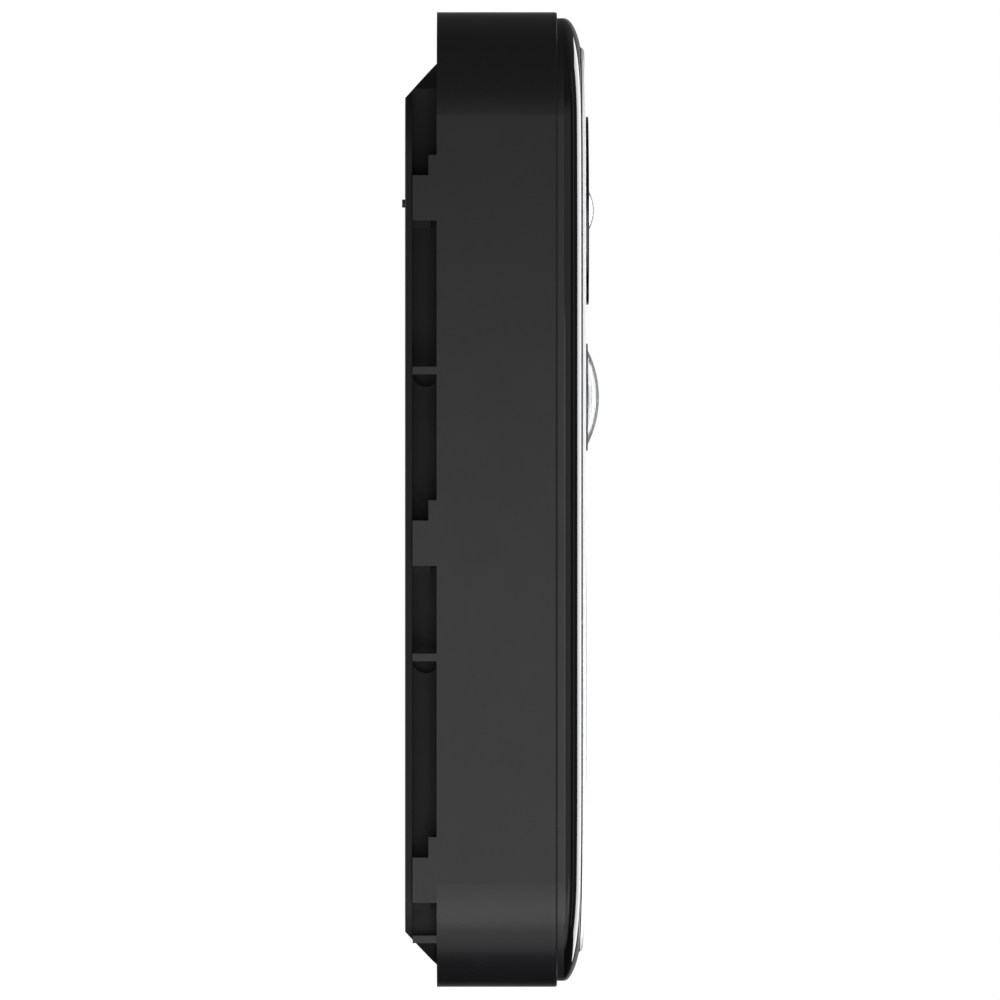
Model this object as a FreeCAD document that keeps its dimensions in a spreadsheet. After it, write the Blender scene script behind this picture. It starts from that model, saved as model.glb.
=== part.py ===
import FreeCAD, Part
import os
import re
import Sketcher
from FreeCAD import Vector

# A wall-mounted video doorbell. Millimetres; X across, Z up, the wall is the plane Y = 0 and the front faces -Y.
# Places along the body's thickness are depths: a depth of 10 is the plane Y = -10.
# The origin is the centre of the two wall-screw holes, in the bracket's back face.

SIZES = {
    # overall form
    "body_height": 130.0,
    "body_width": 50.0,
    "corner_radius": 14.0,
    "sleeve_wall": 2.0,
    "sleeve_depth": 16.0,
    "band_depth": 0.9,
    "band_inset": 0.8,
    "bezel_depth": 2.4,
    "bezel_web": 1.6,
    "shoulder_radius": 2.2,
    "face_border": 4.6,
    "seat_lip": 0.5,
    "edge_round": 0.3,
    "rim_round": 0.2,
    "face_rise": 0.65,
    "fit_gap": 0.15,
    # wall bracket
    "bracket_depth": 4.2,
    "rim_depth": 0.9,
    "rim_inset": 0.5,
    "tray_inset": 4.0,
    "tray_wall": 2.0,
    "tray_floor": 1.7,
    "tray_corner": 8.0,
    "top_drop_back": 11.7,
    "top_drop_front": 6.9,
    "bottom_rise_back": 7.6,
    "bottom_rise_front": 3.0,
    "wall_hole_radius": 2.25,
    "wall_hole_end": 18.0,
    "wall_head_radius": 4.2,
    "wall_head_sink": 0.5,
    "window_width": 22.0,
    "window_height": 26.0,
    "window_corner": 2.0,
    # hooks, catches and fingers
    "hook_middle_drop": 5.8,
    "hook_upper_pitch": 45.8,
    "hook_lower_pitch": 44.7,
    "hook_height": 6.0,
    "hook_stop": 1.0,
    "step_height": 2.7,
    "step_depth": 1.1,
    "foot_height": 2.8,
    "foot_depth": 1.2,
    "catch_depth": 1.1,
    "slide_gap": 0.1,
    "rest_gap": 0.02,
    "unlock_travel": 3.0,
    "finger_height": 1.0,
    "finger_upper": 17.1,
    "finger_lower": -20.95,
    "end_finger_rise": 6.6,
    "end_finger_width": 1.2,
    "end_finger_inset": 3.1,
    "pocket_radius": 1.8,
    "pocket_sink": 1.2,
    "pocket_shift": 0.3,
    "pocket_setback": 1.45,
    # rear cover and its seal
    "cover_gap": 0.4,
    "cover_depth": 2.0,
    "cover_hole_radius": 1.15,
    "gasket_depth": 0.6,
    "gasket_width": 1.6,
    "ledge_depth": 1.4,
    "ledge_width": 2.0,
    # camera
    "camera_drop": 26.3,
    "disc_radius": 12.6,
    "disc_rise": 0.35,
    "disc_ledge": 1.4,
    "lens_radius": 2.6,
    "lens_rise": 0.67,
    "lens_gap": 0.05,
    "lens_sink": 0.3,
    "barrel_radius": 4.4,
    "barrel_step": 0.4,
    "barrel_lift": 1.6,
    "nose_depth": 1.0,
    "nose_wall": 0.6,
    "holder_width": 12.0,
    "holder_depth": 3.2,
    "image_width": 5.0,
    "image_height": 4.0,
    "image_depth": 0.7,
    "camera_board_width": 26.0,
    "camera_board_height": 24.0,
    "camera_board_depth": 1.0,
    "camera_board_drop": 7.1,
    "camera_opening": 7.5,
    "shroud_gap": 0.1,
    "shroud_wall": 0.8,
    "night_led_radius": 1.0,
    "lamp_board_depth": 0.8,
    "lamp_board_gap": 0.4,
    "ribbon_width": 8.0,
    "ribbon_depth": 0.3,
    "ribbon_lap": 4.0,
    # motion sensor
    "motion_pitch": 25.0,
    "dome_radius": 6.7,
    "dome_rise": 1.7,
    "dome_ledge": 1.2,
    "dome_wall": 1.0,
    "dome_skin": 0.2,
    "ring_gap": 0.1,
    "ring_wall": 0.4,
    "ring_rise": 0.2,
    "sensor_radius": 4.6,
    "sensor_gap": 0.6,
    "sensor_depth": 4.2,
    "sensor_window_width": 4.0,
    "sensor_window_height": 3.0,
    "sensor_window_sink": 0.2,
    # button
    "button_rise": 42.3,
    "button_radius": 10.6,
    "light_radius": 15.4,
    "button_gap": 0.2,
    "button_travel": 0.5,
    "cap_depth": 0.7,
    "cap_sink": 0.05,
    "flange_width": 0.9,
    "flange_depth": 0.3,
    "stem_radius": 2.9,
    "stem_gap": 0.15,
    "spring_gap": 1.2,
    "spring_wall": 1.8,
    "spring_sink": 1.0,
    "groove_gap": 0.2,
    "button_seal_gap": 0.3,
    "button_seal_width": 3.7,
    "button_seal_lift": 0.1,
    "switch_width": 6.0,
    "switch_corner": 0.4,
    "switch_depth": 3.4,
    "switch_clearance": 0.7,
    "switch_plunger_radius": 1.7,
    "switch_plunger_stand": 1.0,
    "switch_plunger_seat": 0.2,
    "switch_plunger_gap": 0.1,
    "ring_led_width": 1.6,
    "ring_led_depth": 0.6,
    "ring_led_hole": 1.3,
    "ring_board_lap": 1.0,
    # inner frame and its screws
    "web_depth": 1.5,
    "skirt_depth": 2.5,
    "skirt_wall": 1.4,
    "seal_width": 1.2,
    "boss_radius": 2.6,
    "boss_side": 5.7,
    "boss_end": 10.5,
    "boss_middle": 2.0,
    "pilot_radius": 0.85,
    "pilot_depth": 6.0,
    "post_radius": 2.0,
    "post_inset": 2.5,
    "post_pilot_radius": 0.7,
    "post_pilot_depth": 2.0,
    "housing_head_radius": 1.95,
    "housing_head_depth": 1.1,
    "housing_head_sink": 0.1,
    "housing_shank_radius": 0.8,
    "housing_socket_radius": 0.9,
    "housing_bite": 2.8,
    "board_head_radius": 1.5,
    "board_head_depth": 0.9,
    "board_shank_radius": 0.65,
    "board_socket_radius": 0.6,
    "board_bite": 1.8,
    # main board and what it carries
    "board_depth": 1.2,
    "board_drop": 3.5,
    "board_side_gap": 0.2,
    "board_end_gap": 0.7,
    "board_tail": 27.3,
    "board_corner": 1.5,
    "board_hole_radius": 0.9,
    "upper_post_drop": 5.0,
    "lower_post_rise": 6.0,
    "processor_width": 9.0,
    "processor_depth": 1.0,
    "processor_side": -7.0,
    "processor_drop": 13.7,
    "memory_width": 7.0,
    "memory_height": 5.0,
    "memory_depth": 0.9,
    "memory_side": 8.0,
    "memory_drop": 14.7,
    "charger_width": 5.0,
    "charger_depth": 0.8,
    "charger_rise": 9.0,
    "wifi_width": 16.0,
    "wifi_height": 13.0,
    "wifi_depth": 2.4,
    "wifi_side": -4.0,
    "wifi_drop": 1.7,
    "antenna_width": 22.0,
    "antenna_depth": 0.6,
    "antenna_gap": 1.3,
    "antenna_end_gap": 1.0,
    # power board, terminals and reserve
    "power_board_lift": 3.8,
    "power_board_inset": 0.5,
    "power_board_height": 44.0,
    "power_board_fall": 6.0,
    "connector_width": 12.0,
    "connector_height": 4.0,
    "connector_fall": 20.0,
    "inductor_width": 9.0,
    "inductor_side": 7.0,
    "inductor_gap": 0.3,
    "capacitor_width": 18.0,
    "capacitor_height": 7.6,
    "capacitor_corner": 1.2,
    "capacitor_gap": 0.5,
    "capacitor_lift": 2.4,
    "capacitor_rise": 14.0,
    "terminal_width": 20.0,
    "terminal_height": 10.0,
    "terminal_gap": 0.2,
    "terminal_sink": 0.3,
    "terminal_side": 5.0,
    "terminal_hole_radius": 1.6,
    "terminal_floor": 1.0,
    "terminal_head_radius": 3.0,
    "terminal_head_depth": 1.7,
    "terminal_shank_radius": 1.5,
    "terminal_shank_length": 3.6,
    "terminal_socket_radius": 1.2,
    # speaker and microphone
    "speaker_width": 14.0,
    "speaker_height": 5.0,
    "speaker_corner": 1.0,
    "speaker_side": -2.5,
    "speaker_gap": 0.6,
    "speaker_rise": 1.3,
    "speaker_seal_height": 1.0,
    "speaker_seal_width": 1.0,
    "speaker_seal_rise": 0.2,
    "slot_width": 1.2,
    "slot_pitch": 2.6,
    "microphone_width": 3.4,
    "microphone_height": 1.4,
    "microphone_depth": 3.0,
    "microphone_side": 8.5,
    "microphone_rise": 0.2,
    "microphone_hole": 1.0,
    # tamper plunger
    "plunger_radius": 0.55,
    "plunger_reach": 0.57,
    "plunger_side": 9.0,
    "plunger_drop": 25.2,
    "plunger_clearance": 0.45,
    "plunger_play": 0.2,
    "plunger_end": 0.3,
    "collar_radius": 1.4,
    "collar_depth": 0.7,
    "collar_gap": 0.3,
    "tamper_spring_radius": 1.5,
    "tamper_spring_gap": 0.25,
    "tamper_switch_width": 5.0,
    "tamper_switch_depth": 2.2,
    "tamper_hole_gap": 0.15,
    "tamper_hole_depth": 1.4,
}

PLACES = {
    "half_height": "body_height / 2",
    "half_width": "body_width / 2",
    "sleeve_back": "bracket_depth",
    "sleeve_front": "bracket_depth + sleeve_depth",
    "bezel_back": "sleeve_front + band_depth",
    "bezel_front": "bezel_back + bezel_depth",
    "web_front": "bezel_back + bezel_web",
    "face_front": "bezel_front + face_rise",
    "disc_front": "face_front + disc_rise",
    "band_width": "body_width - 2 * band_inset",
    "band_height": "body_height - 2 * band_inset",
    "band_radius": "corner_radius - band_inset",
    "inner_width": "body_width - 2 * sleeve_wall",
    "inner_height": "body_height - 2 * sleeve_wall",
    "inner_radius": "corner_radius - sleeve_wall",
    "seat_width": "body_width - 2 * face_border",
    "seat_height": "body_height - 2 * face_border",
    "seat_radius": "corner_radius - face_border",
    "lip_width": "seat_width - 2 * seat_lip",
    "lip_height": "seat_height - 2 * seat_lip",
    "lip_radius": "seat_radius - seat_lip",
    "fit_width": "inner_width - 2 * fit_gap",
    "fit_height": "inner_height - 2 * fit_gap",
    "fit_radius": "inner_radius - fit_gap",
    "cover_back": "sleeve_back + cover_gap",
    "cover_front": "cover_back + cover_depth",
    "ledge_back": "cover_front + gasket_depth",
    "ledge_front": "ledge_back + ledge_depth",
    "web_back": "sleeve_front - web_depth",
    "skirt_back": "web_back - skirt_depth",
    "rim_width": "body_width - 2 * rim_inset",
    "rim_height": "body_height - top_drop_front - bottom_rise_front",
    "rim_middle": "(bottom_rise_front - top_drop_front) / 2",
    "tray_height": "body_height - 2 * top_drop_front - bottom_rise_back",
    "hook_upper": "hook_upper_pitch - hook_middle_drop",
    "hook_middle": "0 - hook_middle_drop",
    "hook_lower": "0 - hook_middle_drop - hook_lower_pitch",
    "hook_back": "rim_depth + slide_gap",
    "finger_bottom": "end_finger_rise - half_height",
    "tray_side": "half_width - tray_inset",
    "hook_inside": "half_width - sleeve_wall",
    "foot_inside": "tray_side + 2 * slide_gap",
    "catch_back": "rim_depth + 2 * slide_gap + foot_depth",
    "catch_side": "hook_inside - 2 * slide_gap",
    "wall_hole_place": "half_height - wall_hole_end",
    "boss_x": "inner_width / 2 - boss_side",
    "boss_z": "inner_height / 2 - boss_end",
    "camera_height": "half_height - camera_drop",
    "camera_board_place": "web_back - camera_board_drop",
    "camera_board_front": "camera_board_place + camera_board_depth",
    "camera_board_foot": "camera_height - camera_board_height / 2",
    "lens_back": "web_front - lens_sink",
    "shroud_radius": "barrel_radius + shroud_gap + shroud_wall",
    "lamp_board_radius": "disc_radius - disc_ledge - lamp_board_gap",
    "night_led_circle": "(lamp_board_radius + shroud_radius + shroud_gap) / 2",
    "motion_height": "camera_height - motion_pitch",
    "ring_inside": "dome_radius + ring_gap",
    "ring_outside": "ring_inside + ring_wall",
    "button_height": "button_rise - half_height",
    "cap_front": "face_front - cap_sink",
    "cap_back": "cap_front - cap_depth",
    "flange_radius": "button_radius + flange_width",
    "spring_inside": "stem_radius + spring_gap",
    "spring_outside": "spring_inside + spring_wall",
    "ring_led_circle": "(button_radius + light_radius) / 2",
    "ring_board_front": "web_back - ring_led_depth",
    "board_place": "web_back - board_drop",
    "board_front": "board_place + board_depth",
    "board_top": "camera_board_foot - board_end_gap",
    "board_bottom": "button_height - board_tail",
    "board_height": "board_top - board_bottom",
    "board_middle": "(board_top + board_bottom) / 2",
    "board_width": "2 * (boss_x - boss_radius - board_side_gap)",
    "switch_front": "board_front + switch_depth",
    "ribbon_top": "camera_board_foot + ribbon_lap",
    "ribbon_bottom": "board_top - ribbon_lap",
    "ribbon_back": "camera_board_place - ribbon_depth",
    "power_board_place": "cover_front + power_board_lift",
    "power_board_front": "power_board_place + board_depth",
    "terminal_back": "cover_back + terminal_sink",
    "speaker_back": "ledge_front + speaker_gap",
    "speaker_front": "skirt_back - speaker_gap",
    "slot_back": "speaker_back + 2 * speaker_seal_width",
    "slot_front": "speaker_front - speaker_seal_width",
    "bottom_inside": "sleeve_wall - half_height",
    "plunger_height": "half_height - plunger_drop",
    "plunger_slot": "2 * (plunger_radius + plunger_clearance)",
    "collar_back": "cover_front + collar_gap",
    "collar_front": "collar_back + collar_depth",
    "tamper_switch_back": "camera_board_place - tamper_switch_depth",
}

doc = FreeCAD.newDocument("VideoDoorbell")
pieces = []


def make_sheet(name, rows, prefix):
    sheet = doc.addObject("Spreadsheet::Sheet", name)
    for row, (alias, content) in enumerate(rows.items(), start=1):
        sheet.set(f"A{row}", alias.replace("_", " "))
        sheet.set(f"B{row}", prefix + str(content))
        sheet.setAlias(f"B{row}", alias)
    return sheet


def bound(text):
    """Point each size's name in a formula at the sheet that holds it."""
    def full_name(match):
        name = match.group()
        if name in SIZES:
            return "Dims." + name
        if name in PLACES:
            return "Places." + name
        return name
    return re.sub(r"[a-z]\w+", full_name, str(text))


def bind(target, path, text):
    target.setExpression(path, bound(text))


def value(text):
    return float(places.evalExpression(bound(text)))


dims = make_sheet("Dims", SIZES, "")
doc.recompute()
places = make_sheet("Places", {name: bound(text) for name, text in PLACES.items()}, "=")
doc.recompute()


# Outlines -------------------------------------------------------------------------------------------------

def rectangle(width, height, radius=None):
    return ("rectangle", width, height, radius)


def circle(radius):
    return ("circle", radius)


def constrain(sketch, kind, places_in_sketch, text):
    index = sketch.addConstraint(Sketcher.Constraint(kind, *places_in_sketch, value(text)))
    bind(sketch, f"Constraints[{index}]", text)


def draw_circle(sketch, radius):
    edge = sketch.addGeometry(Part.Circle(Vector(), Vector(0, 0, 1), value(radius)), False)
    sketch.addConstraint(Sketcher.Constraint("Coincident", edge, 3, -1, 1))
    constrain(sketch, "Radius", (edge,), radius)


def draw_rectangle(sketch, width, height, radius):
    """Draw a rectangle centred on the sketch's origin, its corners sharp or rounded."""
    half_w = value(width) / 2
    half_h = value(height) / 2
    cut_back = value(radius) if radius else 0.0
    ends = [
        (Vector(-half_w + cut_back, -half_h), Vector(half_w - cut_back, -half_h)),
        (Vector(half_w, -half_h + cut_back), Vector(half_w, half_h - cut_back)),
        (Vector(half_w - cut_back, half_h), Vector(-half_w + cut_back, half_h)),
        (Vector(-half_w, half_h - cut_back), Vector(-half_w, -half_h + cut_back)),
    ]
    sides = [sketch.addGeometry(Part.LineSegment(*pair), False) for pair in ends]
    for place, side in enumerate(sides):
        following = sides[(place + 1) % 4]
        sketch.addConstraint(Sketcher.Constraint("Vertical" if place % 2 else "Horizontal", side))
        if not radius:
            sketch.addConstraint(Sketcher.Constraint("Coincident", side, 2, following, 1))
            continue
        start = ends[place][1]
        finish = ends[(place + 1) % 4][0]
        corner = ends[place][1] if place % 2 else ends[(place + 1) % 4][0]
        centre = Vector(finish.x, start.y) if place % 2 else Vector(start.x, finish.y)
        middle = centre + (start - centre + finish - centre).normalize() * cut_back
        arc = sketch.addGeometry(Part.Arc(start, middle, finish), False)
        sketch.addConstraint(Sketcher.Constraint("Tangent", side, 2, arc, 1))
        sketch.addConstraint(Sketcher.Constraint("Tangent", arc, 2, following, 1))
        constrain(sketch, "Radius", (arc,), radius)
    bottom, right, top, left = sides
    constrain(sketch, "DistanceX", (left, 2, right, 1), width)
    constrain(sketch, "DistanceY", (bottom, 1, top, 2), height)
    constrain(sketch, "DistanceX", (left, 2, -1, 1), f"({width}) / 2")
    constrain(sketch, "DistanceY", (bottom, 1, -1, 1), f"({height}) / 2")


def plane_of(body, role):
    return next(feature for feature in body.Origin.OriginFeatures if feature.Role == role)


def outline(body, shapes, depth, x, z):
    """Draw shapes on a plane facing the front, at a depth, centred on x and z."""
    sketch = body.newObject("Sketcher::SketchObject", "Outline")
    sketch.AttachmentSupport = [(plane_of(body, "XZ_Plane"), "")]
    sketch.MapMode = "FlatFace"
    bind(sketch, "AttachmentOffset.Base.x", x)
    bind(sketch, "AttachmentOffset.Base.y", z)
    bind(sketch, "AttachmentOffset.Base.z", depth)
    for shape in shapes:
        if shape[0] == "circle":
            draw_circle(sketch, shape[1])
        else:
            draw_rectangle(sketch, *shape[1:])
    return sketch


# Features -------------------------------------------------------------------------------------------------

def piece(label):
    body = doc.addObject("PartDesign::Body", label)
    body.Label = label
    body.AllowCompound = True
    pieces.append(body)
    return body


def add(body, shapes, near, far, x="0", z="0"):
    """Pad shapes from the depth near to the deeper far, towards the front."""
    pad = body.newObject("PartDesign::Pad", "Pad")
    pad.Profile = outline(body, shapes, near, x, z)
    bind(pad, "Length", f"({far}) - ({near})")
    doc.recompute()
    return pad


def cut(body, shapes, near, far, x="0", z="0"):
    """Cut shapes out from the depth near to far, and make sure that something was cut."""
    before = body.Shape.Volume
    pocket = body.newObject("PartDesign::Pocket", "Pocket")
    pocket.Profile = outline(body, shapes, near, x, z)
    pocket.Reversed = True
    bind(pocket, "Length", f"({far}) - ({near})")
    doc.recompute()
    if body.Shape.Volume >= before:
        raise ValueError(f"{body.Label}: a pocket at {near} cut nothing")
    return pocket


def round_edges(body, depths, radius):
    """Round every edge of the body's last feature that lies wholly at one of the depths."""
    base = body.Tip
    levels = [-value(depth) for depth in depths]
    chosen = [f"Edge{number}" for number, edge in enumerate(base.Shape.Edges, start=1)
              if any(abs(edge.BoundBox.YMin - level) < 1e-4 and abs(edge.BoundBox.YMax - level) < 1e-4
                     for level in levels)]
    fillet = body.newObject("PartDesign::Fillet", "Rounding")
    fillet.Base = (base, chosen)
    bind(fillet, "Radius", radius)
    doc.recompute()


def side_profile(body, corners, half_thickness):
    """Pad a closed outline of (depth, height) corners equally to both sides of the middle plane."""
    sketch = body.newObject("Sketcher::SketchObject", "Profile")
    sketch.AttachmentSupport = [(plane_of(body, "YZ_Plane"), "")]
    sketch.MapMode = "FlatFace"
    spots = [Vector(-value(depth), value(height)) for depth, height in corners]
    count = len(spots)
    for place in range(count):
        sketch.addGeometry(Part.LineSegment(spots[place], spots[(place + 1) % count]), False)
    for place, (depth, height) in enumerate(corners):
        sketch.addConstraint(Sketcher.Constraint("Coincident", place, 2, (place + 1) % count, 1))
        constrain(sketch, "DistanceX", (-1, 1, place, 1), f"-({depth})")
        constrain(sketch, "DistanceY", (-1, 1, place, 1), height)
    pad = body.newObject("PartDesign::Pad", "Pad")
    pad.Profile = sketch
    pad.Midplane = True
    bind(pad, "Length", f"2 * ({half_thickness})")
    doc.recompute()


def domed(body, radius, rise, near, far, z):
    """Turn a rod that ends in a spherical cap, its cap standing rise beyond the depth far."""
    sketch = body.newObject("Sketcher::SketchObject", "Section")
    sketch.AttachmentSupport = [(plane_of(body, "YZ_Plane"), "")]
    sketch.MapMode = "FlatFace"
    bind(sketch, "AttachmentOffset.Base.y", z)
    start = -value(near)
    edge = -value(far)
    tip = edge - value(rise)
    wide = value(radius)
    ball = (wide ** 2 + value(rise) ** 2) / (2 * value(rise))
    centre = Vector(tip + ball, 0)
    halfway = (Vector(tip, 0) - centre + Vector(edge, wide) - centre).normalize() * ball
    sketch.addGeometry(Part.LineSegment(Vector(tip, 0), Vector(start, 0)), False)
    sketch.addGeometry(Part.LineSegment(Vector(start, 0), Vector(start, wide)), False)
    sketch.addGeometry(Part.LineSegment(Vector(start, wide), Vector(edge, wide)), False)
    sketch.addGeometry(Part.Arc(Vector(edge, wide), centre + halfway, Vector(tip, 0)), False)
    for line in range(3):
        sketch.addConstraint(Sketcher.Constraint("Coincident", line, 2, line + 1, 1))
    sketch.addConstraint(Sketcher.Constraint("Coincident", 3, 2, 0, 1))
    sketch.addConstraint(Sketcher.Constraint("PointOnObject", 3, 3, -1))
    sketch.addConstraint(Sketcher.Constraint("PointOnObject", 0, 1, -1))
    sketch.addConstraint(Sketcher.Constraint("Vertical", 1))
    sketch.addConstraint(Sketcher.Constraint("Horizontal", 2))
    sketch.addConstraint(Sketcher.Constraint("PointOnObject", 0, 2, -1))
    constrain(sketch, "DistanceX", (-1, 1, 0, 2), f"-({near})")
    constrain(sketch, "DistanceX", (-1, 1, 2, 2), f"-({far})")
    constrain(sketch, "DistanceX", (-1, 1, 0, 1), f"-({far}) - ({rise})")
    constrain(sketch, "DistanceY", (-1, 1, 2, 2), radius)
    turned = body.newObject("PartDesign::Revolution", "Turned")
    turned.Profile = sketch
    turned.ReferenceAxis = (sketch, ["H_Axis"])
    turned.Angle = 360.0
    doc.recompute()


def screws(label, spots, head_back, head_depth, length, head_radius, shank_radius, socket_radius):
    """Make a group of like screws, their heads at the back and their shanks running forwards."""
    group = piece(label)
    for x, z in spots:
        add(group, [circle(head_radius)], head_back, f"{head_back} + {head_depth}", x, z)
        add(group, [circle(shank_radius)], f"{head_back} + {head_depth}",
            f"{head_back} + {head_depth} + {length}", x, z)
        cut(group, [circle(socket_radius)], head_back, f"{head_back} + {head_depth} / 2", x, z)


# Places that repeat ---------------------------------------------------------------------------------------

SIDES = ("-1", "1")
HOOKS = ("hook_upper", "hook_middle", "hook_lower")
FINGERS = ("finger_upper", "finger_lower")
BOSSES = [(f"{side} * boss_x", height) for side in SIDES for height in ("boss_z", "boss_middle", "-boss_z")]
POSTS = [(f"{side} * (board_width / 2 - post_inset)", height)
         for side in SIDES for height in ("board_top - upper_post_drop", "board_bottom + lower_post_rise")]
CAMERA_POSTS = [(f"{side} * (camera_board_width / 2 - post_inset)",
                 f"camera_height - {side} * (camera_board_height / 2 - post_inset)") for side in SIDES]
RING_LEDS = 8
NIGHT_LEDS = 6
SPEAKER_SLOTS = ("-2", "-1", "0", "1", "2")


def around(count, radius, height):
    """Give the places of a number of things spread evenly round a circle."""
    return [(f"({radius}) * cos({step} * 360 / {count})", f"{height} + ({radius}) * sin({step} * 360 / {count})")
            for step in range(count)]


# Wall bracket: a chamfered tray with a thin rim, held by two screws ---------------------------------------

def wall_bracket():
    body = piece("wall_bracket")
    side_profile(body, [("0", "half_height - top_drop_back"),
                        ("bracket_depth", "half_height - top_drop_front"),
                        ("bracket_depth", "bottom_rise_front - half_height"),
                        ("0", "bottom_rise_back - half_height")], "half_width - rim_inset")
    cut(body, [rectangle("2 * body_width", "2 * body_height"), rectangle("rim_width", "rim_height", "inner_radius")],
        "0", "bracket_depth", "0", "rim_middle")
    round_edges(body, ["0"], "rim_round")
    for side in SIDES:
        cut(body, [rectangle("2 * tray_inset", "body_height")], "rim_depth", "bracket_depth", f"{side} * half_width")
    cut(body, [rectangle("2 * (tray_side - tray_wall)", "tray_height", "tray_corner - tray_wall")],
        "tray_floor", "bracket_depth", "0", "rim_middle")
    cut(body, [rectangle("window_width", "window_height", "window_corner")], "0", "tray_floor")
    for side in SIDES:
        place = f"{side} * wall_hole_place"
        cut(body, [circle("wall_hole_radius")], "0", "tray_floor", "0", place)
        cut(body, [circle("wall_head_radius")], "tray_floor - wall_head_sink", "tray_floor", "0", place)
    cut(body, [rectangle("plunger_slot", "plunger_slot + unlock_travel")],
        "0", "tray_floor", "plunger_side", "plunger_height + unlock_travel / 2")
    for side in SIDES:
        middle = f"{side} * (tray_side + catch_side) / 2"
        for height in HOOKS:
            foot = f"{height} - hook_height / 2"
            add(body, [rectangle("catch_side - tray_side", "foot_height")],
                "catch_back", "catch_back + catch_depth", middle, f"{foot} + foot_height / 2")
            add(body, [rectangle("catch_side - tray_side", "hook_stop")],
                "rim_depth", "catch_back + catch_depth", middle, f"{foot} - hook_stop / 2 - rest_gap")
    for height in FINGERS:
        sink_pockets(body, f"{height} - pocket_shift")


def sink_pockets(body, height):
    """Sink a round pocket into each outer side wall of the tray."""
    for side in SIDES:
        sketch = body.newObject("Sketcher::SketchObject", "PocketOutline")
        sketch.AttachmentSupport = [(plane_of(body, "YZ_Plane"), "")]
        sketch.MapMode = "FlatFace"
        bind(sketch, "AttachmentOffset.Base.x", "pocket_setback - bracket_depth")
        bind(sketch, "AttachmentOffset.Base.y", height)
        bind(sketch, "AttachmentOffset.Base.z", f"{side} * (tray_side - pocket_sink)")
        draw_circle(sketch, "pocket_radius")
        before = body.Shape.Volume
        pocket = body.newObject("PartDesign::Pocket", "Pocket")
        pocket.Profile = sketch
        pocket.Reversed = side == SIDES[1]
        bind(pocket, "Length", "pocket_sink + rest_gap")
        doc.recompute()
        if body.Shape.Volume >= before:
            raise ValueError("a detent pocket cut nothing")


# Shells ---------------------------------------------------------------------------------------------------

def housing_sleeve():
    body = piece("housing_sleeve")
    add(body, [rectangle("body_width", "body_height", "corner_radius")], "sleeve_back", "sleeve_front")
    round_edges(body, ["sleeve_front"], "edge_round")
    cut(body, [rectangle("inner_width", "inner_height", "inner_radius")], "sleeve_back", "sleeve_front")
    add(body, [rectangle("inner_width + sleeve_wall", "inner_height + sleeve_wall", "inner_radius"),
               rectangle("inner_width - 2 * ledge_width", "inner_height - 2 * ledge_width",
                         "inner_radius - ledge_width")], "ledge_back", "ledge_front")
    for side in SIDES:
        wall_middle = f"{side} * (half_width - sleeve_wall / 2)"
        for height in HOOKS:
            add(body, [rectangle("sleeve_wall", "hook_height")], "hook_back", "sleeve_back", wall_middle, height)
            add(body, [rectangle("sleeve_wall", "step_height")], "sleeve_back - step_depth", "sleeve_back",
                wall_middle, f"{height} + (hook_height + step_height) / 2")
            add(body, [rectangle("hook_inside - foot_inside", "foot_height")], "hook_back", "hook_back + foot_depth",
                f"{side} * (hook_inside + foot_inside) / 2", f"{height} - hook_height / 2 + foot_height / 2")
        for height in FINGERS:
            add(body, [rectangle("sleeve_wall", "finger_height")], "hook_back", "sleeve_back", wall_middle, height)
        add(body, [rectangle("end_finger_width", "finger_height")], "hook_back", "sleeve_back",
            f"{side} * (half_width - end_finger_inset)", "finger_bottom")
    for place in SPEAKER_SLOTS:
        cut(body, [rectangle("slot_width", "4 * sleeve_wall")], "slot_back", "slot_front",
            f"speaker_side + {place} * slot_pitch", "-half_height")
    cut(body, [rectangle("microphone_hole", "4 * sleeve_wall")], "slot_back + microphone_hole",
        "slot_back + 2 * microphone_hole", "microphone_side", "-half_height")


def rear_cover():
    body = piece("rear_cover")
    add(body, [rectangle("fit_width", "fit_height", "fit_radius")], "cover_back", "cover_front")
    for x, z in BOSSES:
        cut(body, [circle("cover_hole_radius")], "cover_back", "cover_front", x, z)
        cut(body, [circle("housing_head_radius + fit_gap")], "cover_back",
            "cover_back + housing_head_sink + housing_head_depth", x, z)
    cut(body, [rectangle("terminal_width + 2 * terminal_gap", "terminal_height + 2 * terminal_gap")],
        "cover_back", "cover_front")
    cut(body, [circle("plunger_radius + plunger_play")], "cover_back", "cover_front",
        "plunger_side", "plunger_height")


def rear_gasket():
    body = piece("rear_gasket")
    add(body, [rectangle("fit_width - 2 * fit_gap", "fit_height - 2 * fit_gap", "fit_radius - fit_gap"),
               rectangle("fit_width - 2 * fit_gap - 2 * gasket_width", "fit_height - 2 * fit_gap - 2 * gasket_width",
                         "fit_radius - fit_gap - gasket_width")], "cover_front", "ledge_back")


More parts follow.
